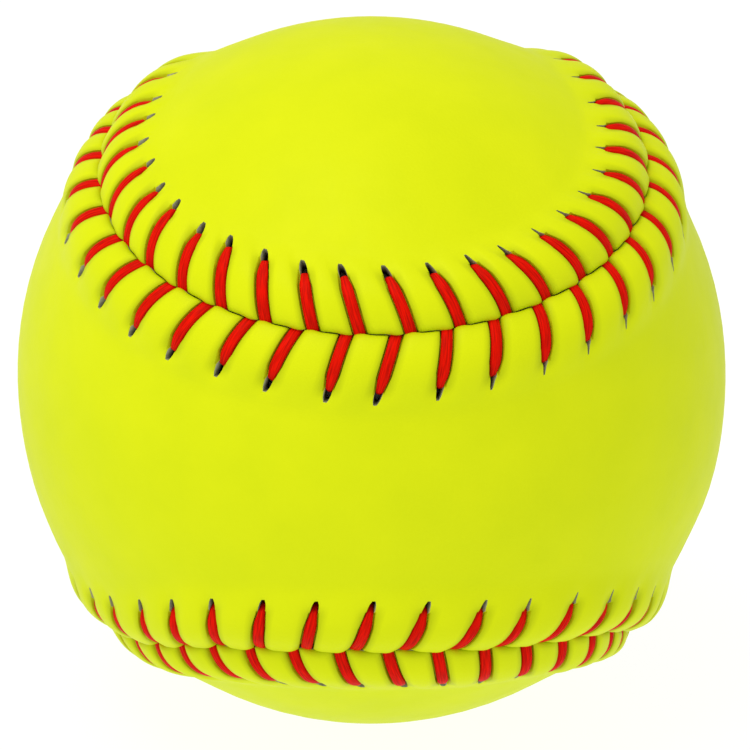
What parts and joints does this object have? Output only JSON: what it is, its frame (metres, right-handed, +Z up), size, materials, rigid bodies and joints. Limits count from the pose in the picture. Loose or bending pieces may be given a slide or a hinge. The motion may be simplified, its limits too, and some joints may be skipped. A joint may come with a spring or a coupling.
{
  "type": "softball",
  "caption": "Round softball: solid core, two figure-eight cover panels with raised rims, laced together by two threads along one closed seam.",
  "frame": {"origin": "centre of the ball", "axes": "the waist of the front panel faces -Y; +Z goes up through the back panel's upper lobe; +X is to the right seen from the front"},
  "size_m": [0.096, 0.096, 0.096],
  "materials": {
    "core_foam": "moulded solid polyurethane, matte",
    "cement_film": "dried contact cement, dull",
    "cover_leather": "optic yellow coated leather, smooth with a fine grain",
    "waxed_thread": "red waxed flat thread"
  },
  "bodies": {
    "root": {"core": "core_foam", "cement_front": "cement_film", "cement_back": "cement_film", "cover_front": "cover_leather", "cover_back": "cover_leather", "thread_first": "waxed_thread", "thread_second": "waxed_thread"}
  },
  "joints": []
}
